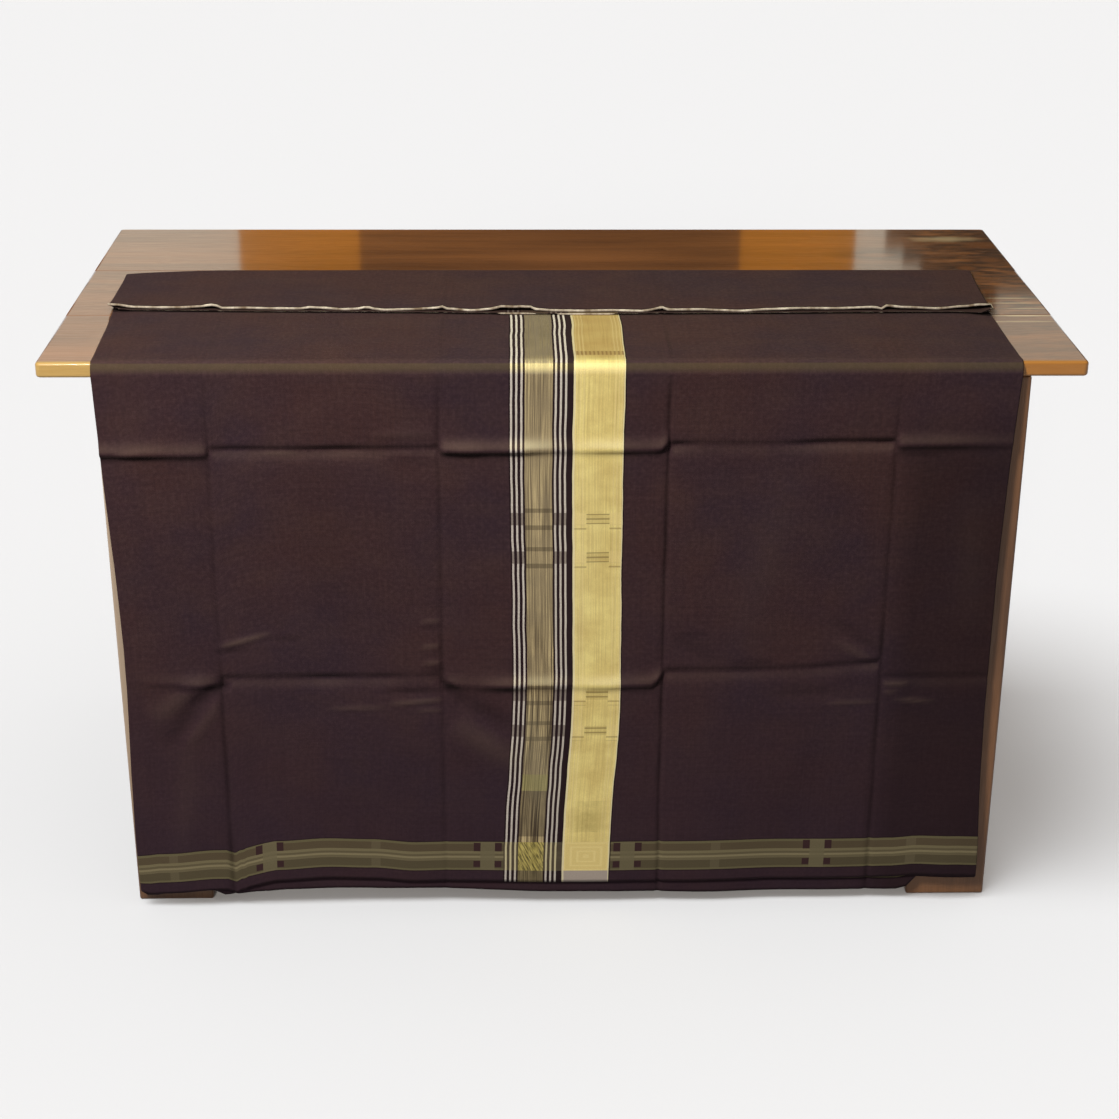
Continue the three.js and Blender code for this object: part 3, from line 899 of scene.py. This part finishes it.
# %% Up the drop and round the table edge
def on_drop(at, c):
    x = side_x(at, c.share)
    hem = chart(HEM_BACK if c.back else HEM_FRONT, x)
    z = hem + at * (DROP_TOP - hem)
    corner = max(0.0, 1 - (x - side_x(at, 0)) / 12)  # the lower left corner is drawn up a little
    z += 7 * corner**2 * max(0.0, 1 - at * 30)
    v = at * (DROP_TOP - chart(HEM_FRONT, x))
    out, tone = relief(x, z, v, c.back)
    return x, DROP_Y - c.offset - out * min(1, 14 * (1 - at)), z, slip(c, z), v, tone


def on_bend(at, c):
    turn, y, z = BEND_PATH[round(at * (len(BEND_PATH) - 1))]
    y, z = y - c.offset * math.sin(turn), z + c.offset * math.cos(turn)
    # the last value, 0.1, is a faint painted highlight round the table edge
    return side_x(1, c.share), y, z, 0.0, c.start + at * BEND_LENGTH, 0.1


# %% Along the table, round the back fold and forward again
def askew(x):
    """The back fold runs a little askew at its left end."""
    return 16 * max(0.0, 1 - (x + 559) / 130) ** 1.5


def on_top(at, c):
    x, y = side_x(1 + at, c.share), BEND_MIDDLE_Y + at * TOP_RUN
    rise = top_puff(x, y) * (1 - smooth((y - 330) / 30))
    crease = furrow(x, c.start + y)
    sunk = SUNK * (1 - smooth(c.from_fold / 30)) * smooth((y - 4) / 20)
    z = LIE_Z + c.offset + rise + 0.5 * crease * smooth(y / 30) - sunk
    # painted shadow of the flap on the cloth under it and just in front of its edge
    painted_flap_shadow = smooth((y - chart(WAIST_EDGE, x) + chart(LOWER_PLY_OUT, x) + 3.5) / 3.0)
    v = c.start + BEND_LENGTH + at * TOP_RUN
    # the tone paints a highlight on the side folds, shade in the creases and the flap's shadow
    return x, y, z, slip_on_table(c, y), v, 0.3 * c.sharp - 0.1 * crease - painted_flap_shadow


def on_fold(at, c):
    x = side_x(2, c.share)
    turn, radius = at * math.pi, FOLD_RADIUS - c.offset
    y = FOLD_Y - askew(x) + radius * math.sin(turn)
    z = LIE_Z + FOLD_RADIUS - radius * math.cos(turn)
    return x, y, z, slip_on_table(c, y), c.start + BEND_LENGTH + TOP_RUN + at * FOLD_LENGTH, 0.0


def on_flap(at, c):
    x = side_x(2 + at, c.share)
    apart = smooth(c.from_fold / 14)  # the two plies are one at the side folds
    reach = FOLD_Y - chart(WAIST_EDGE, x)
    if not c.back:
        reach += chart(LOWER_PLY_OUT, x) * (apart if x < 0 else 1.0)
    forward = at * reach
    y = FOLD_Y - askew(x) * (1 - at) - forward
    lift = flap_lift(x, forward, reach, True)
    if not c.back:
        lift = flap_lift(x, forward, reach, False) * apart + lift * (1 - apart)
    z = LIE_Z + PLY_RISE - c.offset + lift
    z += top_puff(x, y) * smooth(forward / 30) * smooth((reach - forward + 14) / 40)
    # painted shade: the lower ply lies in the upper one's shade, and the upper ply has painted shade in its
    # creases
    tone = -0.35
    if c.back:
        crease = furrow(x, 900 + forward)
        seam = 0.5 * math.exp(-abs(((c.share - 0.5) * CLOTH_WIDTH + 37) / 2.6) ** 1.4)
        z += seam + 0.45 * crease + (1 - at) * 0.3
        tone = -0.1 * crease
    v = c.start + BEND_LENGTH + TOP_RUN + FOLD_LENGTH
    return x, y, z, slip_on_table(c, 190.0), v + at * (CLOTH_HEIGHT - v), tone


RUNS = {"drop": on_drop, "bend": on_bend, "top": on_top, "fold": on_fold, "flap": on_flap}


def cloth_point(u, run, at):
    """Where a point of the cloth lies, its place on the flat cloth and its painted shade or highlight."""
    column = column_at(u)
    x, y, z, slipped, v, tone = RUNS[run](at, column)
    return (x + column.bulge, y, z), (u + slipped, v), tone


print("one point of the hem:", [round(c, 1) for c in cloth_point(0.0, "drop", 0.0)[0]])


# %% Building the tube
CLOTH_THICKNESS = 0.0006
WELD = 2e-5


def to_row(x, y, z):
    """From millimetres behind the front edge to the object's own frame in metres."""
    return Vector((x * MM, y * MM + EDGE_Y, z * MM))


shape = bmesh.new()
bmesh.ops.create_grid(shape, x_segments=len(columns) - 1, y_segments=len(rows) - 1, size=0.5)
cloth_place = shape.loops.layers.uv.new("cloth_place")
# each point carries painted shade (below 0) and painted highlight (above 0) for the dye
painted_shade_and_highlight = shape.verts.layers.float.new("painted_shade_and_highlight")
where = {}
for vertex in shape.verts:
    i = round((vertex.co.x + 0.5) * (len(columns) - 1))
    j = round((vertex.co.y + 0.5) * (len(rows) - 1))
    point, (u, v), tone = cloth_point(columns[i], *rows[j])
    where[vertex.index] = (u * MM, v * MM)
    vertex.co = to_row(*point)
    vertex[painted_shade_and_highlight] = max(-1.0, min(1.0, tone))
for face in shape.faces:
    for loop in face.loops:
        loop[cloth_place].uv = where[loop.vert.index]
rim = [e for e in shape.edges if e.is_boundary]
bmesh.ops.remove_doubles(shape, verts=list({v for e in rim for v in e.verts}), dist=WELD)
for face in shape.faces:
    face.smooth = True
sarong = add_object("sarong_tube", add_mesh("sarong_tube", shape))
wall = sarong.modifiers.new("cloth_thickness", "SOLIDIFY")
wall.thickness = CLOTH_THICKNESS
wall.offset = 0
wall.use_even_offset = False
print("sarong faces:", len(sarong.data.polygons))

# %% [markdown]
# ## Weave and stripes
# The cloth is plain cotton with woven stripes. The head band runs up the cloth: cream lines, a panel of grey
# and metallic threads, and a broad band of gold thread. The border runs across it above the hem. Stripes
# like these could be an image, but a chart of their edges on the flat cloth stays sharp at any distance. All
# of them are read from the cloth's own map, so they bend with it.

# %% Plain weave as a shader group
plain_weave, given, gives = group(
    "plain_weave",
    [("Place", "NodeSocketVector"), ("Threads", "NodeSocketFloat")],
    [("Height", "NodeSocketFloat"), ("Fleck", "NodeSocketFloat"), ("Slub", "NodeSocketFloat")],
)
waves = [
    calc("ABSOLUTE", sine(times(axis, given["Threads"]), math.pi)) for axis in axes(given["Place"])[:2]
]
feed(calc("MAXIMUM", *waves), gives["Height"])
feed(cloud(given["Place"], (900.0, 900.0, 1.0), 2.0, 0.6), gives["Fleck"])
slubs = [cloud(given["Place"], stretch, 2.0, 0.5) for stretch in ((420.0, 9.0, 1.0), (9.0, 420.0, 1.0))]
feed(times(plus(*slubs), 0.5), gives["Slub"])
print("plain_weave has", len(tree.nodes), "nodes")

# %% The chart of the head band and the border, in millimetres on the flat cloth
BAND_LEFT, BAND_SCALE = 485.0, 1.012
CREAM_LINES = [(0.5, 2.9), (6.4, 8.8), (12.4, 14.8), (52.1, 54.5), (58.0, 60.4), (63.9, 66.3)]
PANEL, GOLD, GOLD_EDGE = (17.3, 49.7), (73.8, 133.8), 1.6
MOTIF_FIRST, MOTIF_STEP, MOTIF_PAIR = 215.0, 233.0, 49.5
LOWEST_MOTIF, NO_MOTIFS = 150.0, (655.0, 760.0)
BORDER, BORDER_LINE = (16.5, 57.7), 1.3
BORDER_PAIRS = [-364.0, -79.5, 101.0, 344.0]  # middles of the dark block pairs, from the cloth's middle
BORDER_FAINT = [-492.0, -225.0, 214.0, 462.0]
BORDER_ROWS = [  # share of the border's height from its upper edge down, colour
    (0.0, (108, 100, 72)), (0.08, (92, 80, 60)), (0.33, (124, 114, 84)), (0.42, (104, 94, 70)),
    (0.5, (138, 127, 95)), (0.57, (112, 102, 76)), (0.66, (90, 81, 60)), (0.93, (108, 100, 72)),
]
DARK_STRETCH, GREEN_STRETCH = (66.0, 131.0), (131.0, 154.0)  # heights on the panel
SHADED_STRETCH, DOTTED_ROW = (72.0, 116.0), (711.0, 725.0)  # heights on the gold band
# the second and third widths are of painted shade: the lower ply's rim and the upper ply's roll
SELVEDGE, LOWER_RIM_SHADOW, SELVEDGE_ROLL, TUCKED_PLY = 3.0, 1.6, 7.5, 60.0  # from the waist edge
# where the painted highlight along the bend fades in and out
BEND_HIGHLIGHT_IN, BEND_HIGHLIGHT_OUT = (0.7085, 0.7150), (0.7206, 0.7192)  # metres above the floor

DEEP = (34, 22, 25)
CREAM_THREAD = (214, 204, 190)
GOLD_THREAD = (246, 227, 146)

# %% Sarong cloth: the ground, brown cotton that is a little worn and uneven, with painted shade low down and at the right
sarong_cotton, shader = surface("sarong_cotton")
cloth_map = put("UVMap", uv_map="cloth_place")
u, v = [times(axis, 1 / MM) for axis in axes(cloth_map)[:2]]
weave = use(plain_weave, Place=cloth_map, Threads=1100.0)
fleck, slub = weave["Fleck"], weave["Slub"]
patch = cloud(cloth_map, (5.0, 5.0, 1.0), 3.0, 0.55)
stain = cloud(cloth_map, (16.0, 22.0, 1.0), 4.0, 0.6)
mottle = cloud(cloth_map, (190.0, 190.0, 1.0), 2.0, 0.6)
from_middle = less(calc("PINGPONG", u, CLOTH_WIDTH), CLOTH_WIDTH / 2)
# painted shade: the drop darkens towards its right-hand side
right_side_shade = times(spread(from_middle, 395.0, 440.0), spread(v, 640.0, 560.0, 0.0, 0.45))
cloth = layered(
    (57, 41, 47),
    (spread(patch, 0.38, 0.62), (66, 44, 43)),
    (spread(stain, 0.42, 0.66, 0.0, 0.32), (76, 55, 50)),
    (spread(mottle, 0.5, 0.68, 0.0, 0.22), (34, 22, 26)),
    (spread(mottle, 0.5, 0.32, 0.0, 0.2), (88, 66, 66)),
    # painted shade: darker and bluer towards the hem
    (spread(v, 420.0, 60.0, 0.0, 0.55), (52, 38, 48)),
    (spread(slub, 0.42, 0.62, 0.0, 0.3), (48, 34, 37)),
    # painted shade at the right of the drop
    (right_side_shade, (26, 16, 18)),
)
print("ground:", len(tree.nodes), "nodes so far")

# %% Sarong cloth: the border above the hem, across the whole tube
in_border = within(v, *BORDER)
below_border = calc("LESS_THAN", v, BORDER[0])
border_row = spread(v, BORDER[1], BORDER[0])
ramp = tree.nodes.new("ShaderNodeValToRGB")
ramp.color_ramp.interpolation = "CONSTANT"
stops = ramp.color_ramp.elements
stops.remove(stops[1])
for i, (place, tone) in enumerate(BORDER_ROWS):
    stop = stops[0] if i == 0 else stops.new(place)
    stop.position = place
    stop.color = colour(*tone)
feed(border_row, ramp.inputs[0])
border = ramp.outputs[0]
dark_rows = any_of(within(border_row, 0.04, 0.34), within(border_row, 0.68, 0.9))
brown_rows = any_of(within(border_row, 0.07, 0.33), within(border_row, 0.65, 0.95))
for middle in BORDER_PAIRS:
    away = away_from(from_middle, middle)
    border = layered(
        border,
        (times(calc("LESS_THAN", away, 9.3), 0.8), (116, 107, 80)),
        (times(within(away, 9.3, 18.2), dark_rows), (62, 42, 42)),
    )
for middle in BORDER_FAINT:
    light = calc("LESS_THAN", away_from(from_middle, middle), 6.0)
    border = blend(times(light, brown_rows, 0.35), border, (120, 110, 84))
# painted shade in thin lines along the border's upper and lower edges
border_edge_shade = [within(v, place, place + BORDER_LINE) for place in (BORDER[0] - BORDER_LINE, BORDER[1])]
cloth = layered(cloth, (in_border, border), (times(any_of(*border_edge_shade), 0.6), DEEP))
print("border:", len(tree.nodes), "nodes so far")

# %% Sarong cloth: where a point lies on the head band
wander = spread(cloud(cloth_map, (9.0, 16.0, 1.0), 2.0, 0.5), 0.2, 0.8, -0.9, 0.9)
t = plus(times(less(u, BAND_LEFT), 1 / BAND_SCALE), wander)
# painted light: the panel grows lighter up the drop
painted_light_up_drop = spread(v, 230.0, 430.0)
# on the table top, where the panel and the gold get painted shade
on_top = spread(v, 694.0, 712.0)
gold_place = spread(t, *GOLD)
side = away_from(gold_place, 0.51)
phase = less(v, MOTIF_FIRST - MOTIF_STEP / 2)
phase = less(calc("FLOORED_MODULO", phase, MOTIF_STEP), MOTIF_STEP / 2)
motifs = (phase, less(phase, MOTIF_PAIR))
has_motifs = times(calc("GREATER_THAN", v, LOWEST_MOTIF), less(1.0, within(v, *NO_MOTIFS)))


def motif_rows(*spans):
    """1 in some rows of every motif. The spans are measured from the motif's middle."""
    rows_there = [within(motif, *span) for motif in motifs for span in spans]
    return times(any_of(*rows_there), has_motifs)


block_rows = motif_rows((-6.5, 6.5))
below_rows = motif_rows((-14.5, -7.0))
around_rows = motif_rows((-8.0, 8.0))
bar_rows = motif_rows((-14.0, -8.0), (8.0, 13.5))

# %% Sarong cloth: the cream lines on their dark ground, and the panel of grey and metallic threads
band_ground = times(within(t, -1.4, GOLD[0]), 0.85)
cream = any_of(*[within(t, *line) for line in CREAM_LINES])
cream_tone = layered(
    CREAM_THREAD,
    (spread(slub, 0.4, 0.6, 0.0, 0.5), (182, 170, 156)),
    (times(around_rows, 0.75), (112, 98, 88)),
    (times(in_border, 0.7), (214, 200, 140)),
)
streak = cloud(cloth_map, (560.0, 7.0, 1.0), 2.0, 0.65)
panel_cloud = cloud(cloth_map, (30.0, 26.0, 1.0), 2.0, 0.5)
slant = put("Mapping", cloth_map, None, (0, 0, 0.45), (1 / 620, 1 / 60, 1), vector_type="TEXTURE")
slant = put("TexNoise", slant, None, 1.0, 2.0, 0.6)
slanted = blend(spread(slant, 0.38, 0.6), (96, 88, 48), (206, 188, 104))
panel = within(t, *PANEL)
panel_tone = layered(
    (76, 62, 46),
    (spread(streak, 0.4, 0.62), (206, 184, 136)),
    (spread(panel_cloud, 0.38, 0.66, 0.0, 0.55), (116, 102, 80)),
    # painted light, lighter higher up the drop
    (times(painted_light_up_drop, 0.26), (196, 178, 138)),
    # painted shade on the table top
    (times(on_top, 0.5), (112, 102, 90)),
    (times(bar_rows, 0.48), (62, 52, 42)),
    (times(within(v, *DARK_STRETCH), 0.55), (58, 48, 42)),
    (times(within(v, *GREEN_STRETCH), 0.35), (146, 146, 74)),
    (times(in_border, 0.85), slanted),
    (times(below_border, 0.6), (86, 78, 56)),
)
cloth = layered(
    cloth,
    (band_ground, blend(in_border, DEEP, (84, 74, 60))),
    (cream, cream_tone),
    (panel, panel_tone),
)
print("lines and panel:", len(tree.nodes), "nodes so far")

# %% [markdown]
# The gold band has pale woven lines near its edges and pairs of woven blocks up its middle. Where it crosses
# the border it is brighter and shows nested frames, and its foot below the border is frayed and whitish.

# %% Sarong cloth: the gold band
gold = within(t, *GOLD)
gold_cloud = cloud(cloth_map, (24.0, 30.0, 1.0), 4.0, 0.6)
middle_part = within(gold_place, 0.28, 0.74)
side_parts = less(1.0, middle_part)
block = times(block_rows, middle_part)
fine_rows = spread(sine(v, math.tau / 6.2), 0.2, 0.75)
pale_lines = times(within(side, 0.27, 0.47), spread(sine(t, 1.55), 0.1, 0.7))
dots = spread(sine(t, 1.3), -0.2, 0.5, 0.25, 0.75)
frame_away = calc("MAXIMUM", times(side, 2.0), away_from(times(border_row, 2.0), 1.0))
nested = times(spread(sine(frame_away, 22.0), 0.2, 0.8), 0.35)
shaded = times(spread(side, 0.42, 0.1), spread(gold_cloud, 0.4, 0.6, 0.1, 0.42))
gold_tone = layered(
    GOLD_THREAD,
    (spread(gold_cloud, 0.36, 0.68), (224, 200, 124)),
    # painted shade on the table top
    (times(on_top, 0.65), (186, 148, 92)),
    (spread(streak, 0.46, 0.66, 0.0, 0.35), (176, 142, 84)),
    (times(pale_lines, 0.35), (240, 220, 160)),
    (times(block, 0.25), (170, 142, 78)),
    (times(block, fine_rows, 0.55), (110, 92, 52)),
    (times(below_rows, side_parts, fine_rows, 0.5), (140, 112, 66)),
    (times(around_rows, side_parts, 0.35), (240, 216, 146)),
    (times(within(v, *DOTTED_ROW), dots), (140, 108, 62)),
    (in_border, blend(nested, (232, 208, 134), (248, 230, 164))),
    (times(shaded, within(v, *SHADED_STRETCH)), (168, 150, 88)),
    (below_border, blend(fleck, (130, 112, 100), (214, 202, 186))),
    (times(calc("GREATER_THAN", side, 0.468), 0.75), (238, 226, 184)),
)
edge_line = times(within(t, GOLD[1], GOLD[1] + GOLD_EDGE), 0.8)
cloth = layered(cloth, (gold, gold_tone), (edge_line, DEEP))
print("gold band:", len(tree.nodes), "nodes so far")


# %% Sarong cloth: the waist edge and its painted shade, the creases' painted shade and highlights, and a painted highlight along the bend
def past(inward):
    return calc("GREATER_THAN", v, CLOTH_HEIGHT - inward)


upper_ply = calc("GREATER_THAN", u, CLOTH_WIDTH)
selvedge_share = times(past(SELVEDGE), upper_ply)
tucked = less(past(TUCKED_PLY), upper_ply, clamp=True)
# painted shade of the upper ply's rolled edge, just behind its bead
roll_shade = times(within(v, CLOTH_HEIGHT - SELVEDGE_ROLL, CLOTH_HEIGHT - SELVEDGE), upper_ply, 0.55)
# the painted shade and highlight of each point, read back from the shape
tone = put("Attribute", attribute_name="painted_shade_and_highlight", out=2)
bright_yarn = any_of(gold, panel, cream)
height_here = axes(put("TexCoord", out=3))[2]
# a painted highlight along the table edge, where the cloth bends
bend_highlight = times(spread(height_here, *BEND_HIGHLIGHT_IN), spread(height_here, *BEND_HIGHLIGHT_OUT))
cloth = layered(
    cloth,
    (selvedge_share, (150, 132, 112)),
    (times(tucked, 0.85), (66, 48, 44)),
    # a painted shadow along the rim of the lower ply
    (less(past(LOWER_RIM_SHADOW), selvedge_share, clamp=True), (20, 12, 12)),
    # painted shade where the tone is below 0 and painted highlight where it is above 0
    (
        times(tone, spread(bright_yarn, 0, 1, -0.78, -0.36), clamp=True),
        blend(bright_yarn, (14, 8, 9), (70, 46, 22)),
    ),
    (
        times(tone, spread(bright_yarn, 0, 1, 0.5, 1.0), clamp=True),
        blend(bright_yarn, (128, 106, 90), (250, 238, 190)),
    ),
    (roll_shade, DEEP),
    # the painted highlight along the bend, stronger on the bright yarns
    (
        times(bend_highlight, plus(times(bright_yarn, 0.2), 0.34)),
        blend(bright_yarn, (92, 82, 50), (250, 232, 160)),
    ),
    (spread(fleck, 0.3, 0.7, 0.0, 0.2), (20, 14, 14)),
)
feed(cloth, shader["Base Color"])

metal = times(gold, less(1.0, below_border), 0.36)
metal = calc("MULTIPLY_ADD", times(panel, 0.5), spread(streak, 0.42, 0.6), metal)
feed(metal, shader["Metallic"])
feed(spread(metal, 0.0, 0.6, 0.78, 0.42), shader["Roughness"])
settle(shader, Specular_IOR_Level=0.06, Sheen_Weight=0.03, Sheen_Roughness=0.45)
settle(shader, Sheen_Tint=(0.92, 0.78, 0.52, 1))
roughen(shader, calc("MULTIPLY_ADD", slub, 1.2, weave["Height"]), 0.35, 0.00025)
sarong.data.materials.append(sarong_cotton)
print("sarong_cotton has", len(tree.nodes), "nodes")

# %% [markdown]
# ## Selvedge
# The upper rim of the tube ends in a cream selvedge that has rolled into a thin bead. It could be drawn on
# the cloth, but it stands proud and catches the light, so it is a thin tube of its own that follows the rim
# of both layers. The tube is a ring of circles bridged one to the next.

# %% Selvedge bead
BEAD_SIDES, RIM_STEP = 8, 6.0
BEAD_RADIUS, BEAD_THINNING, THINNING_REACH = 1.55, 1.2, 10  # it thins out at the right-hand fold
TUCKED_RADIUS, SHOWN_RADIUS = 0.34, 0.8  # the lower ply's bead is tucked in, except in two places
RIM_SPOTS = [(place, 3, 0.8) for place in (0, CLOTH_WIDTH, 2 * CLOTH_WIDTH)]


def rim_point(u):
    return Vector(cloth_point(u, "flap", 1.0)[0])


shape = bmesh.new()
rim_places = rings(2 * CLOTH_WIDTH, RIM_STEP, RIM_SPOTS)[:-1]
hoops = []
for i, u in enumerate(rim_places):
    here = rim_point(u)
    way = rim_point(rim_places[(i + 1) % len(rim_places)]) - rim_point(rim_places[i - 1])
    if u > CLOTH_WIDTH:
        radius = BEAD_RADIUS - BEAD_THINNING * smooth(1 - (u - CLOTH_WIDTH) / THINNING_REACH)
        middle = here + Vector((0, -0.8, 0.1))
    else:
        shows = chart(LOWER_BEAD_SHOWS, here.x)
        radius = TUCKED_RADIUS + SHOWN_RADIUS * shows
        middle = here + Vector((0, 0.7 - 1.4 * shows, 0.2 * shows))
    radius *= 1 + 0.22 * uneven(u / 9, 0, 2.0)
    hoop = bmesh.ops.create_circle(shape, cap_ends=False, segments=BEAD_SIDES, radius=radius)["verts"]
    bmesh.ops.transform(shape, matrix=Matrix.Translation(middle) @ facing(way.normalized()), verts=hoop)
    hoops.append(hoop)
for pair in zip(hoops, hoops[1:] + hoops[:1]):
    loops = dict.fromkeys(e for hoop in pair for v in hoop for e in v.link_edges if e.other_vert(v) in hoop)
    bmesh.ops.bridge_loops(shape, edges=list(loops))
for vertex in shape.verts:
    vertex.co = to_row(*vertex.co)
bmesh.ops.recalc_face_normals(shape, faces=shape.faces)
for face in shape.faces:
    face.smooth = True
selvedge = add_object("selvedge_bead", add_mesh("selvedge_bead", shape))
print("selvedge faces:", len(selvedge.data.polygons))

# %% Selvedge thread
cream_selvedge, shader = surface("cream_selvedge")
here = put("TexCoord", out=3)
weave = use(plain_weave, Place=here, Threads=900.0)
roll = cloud(here, (60.0, 8.0, 8.0), 3.0, 0.6)
tint = layered(
    (118, 100, 80),
    (spread(roll, 0.34, 0.66), (214, 202, 182)),
    (spread(weave["Fleck"], 0.4, 0.7, 0.0, 0.3), (110, 96, 80)),
)
feed(tint, shader["Base Color"])
settle(shader, Roughness=0.8, Specular_IOR_Level=0.2)
roughen(shader, weave["Height"], 0.3, 0.0003)
selvedge.data.materials.append(cream_selvedge)
for piece in [*top_boards, *frame_planks, sarong, selvedge]:
    table_and_cloth.objects.link(piece)

# %% [markdown]
# ## Joining the frame
# The cloth replaces its two plain solids and the bead replaces the plain selvedge.

# %% Frame calls
for piece, nodes, finish in (
    (sarong, ("front_layer", "back_layer"), "sarong_cotton"),
    (selvedge, ("waist_selvedge",), "cream_selvedge"),
):
    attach(piece, "root")
    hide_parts(*nodes)
